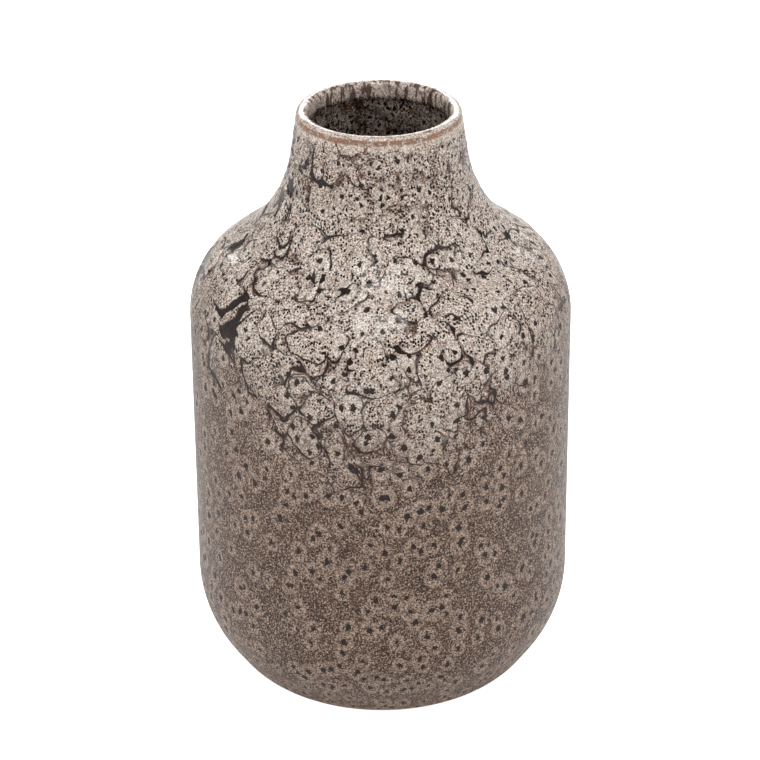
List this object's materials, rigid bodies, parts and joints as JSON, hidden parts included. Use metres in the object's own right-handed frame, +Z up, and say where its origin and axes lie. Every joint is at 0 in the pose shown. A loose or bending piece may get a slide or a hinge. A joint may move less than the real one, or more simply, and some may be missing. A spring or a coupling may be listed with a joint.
{
  "type": "bud vase",
  "caption": "Round stoneware vase with a straight-sided belly, a rounded shoulder and a short narrow neck, in a cratered cream glaze that thins to speckled brown towards the foot.",
  "frame": {"origin": "centre of the foot ring, on the surface that the vase stands on", "axes": "+Z up along the vase's own axis; the vase is turned about Z, so X and Y are alike"},
  "size_m": [0.12, 0.12, 0.192],
  "materials": {
    "stoneware_clay": "fired stoneware clay, unglazed and matt, warm pinkish brown with fine dark grog",
    "brown_base_glaze": "glossy iron-brown base glaze that shows at the foot and through every pit and tear in the cream coat",
    "brown_liner_glaze": "glossy iron-brown liner glaze",
    "cream_crater_glaze": "cream crater glaze with pinholes, pits, rings and dark tears, glossy on the shoulder, satin and brown-speckled on the belly",
    "cream_throat_glaze": "the same cream crater glaze poured into the throat, thinner and browner"
  },
  "bodies": {
    "root": {"clay_body": "stoneware_clay", "base_glaze_outside": "brown_base_glaze", "base_glaze_inside": "brown_liner_glaze", "cream_glaze_outside": "cream_crater_glaze", "cream_glaze_throat": "cream_throat_glaze"}
  },
  "joints": []
}
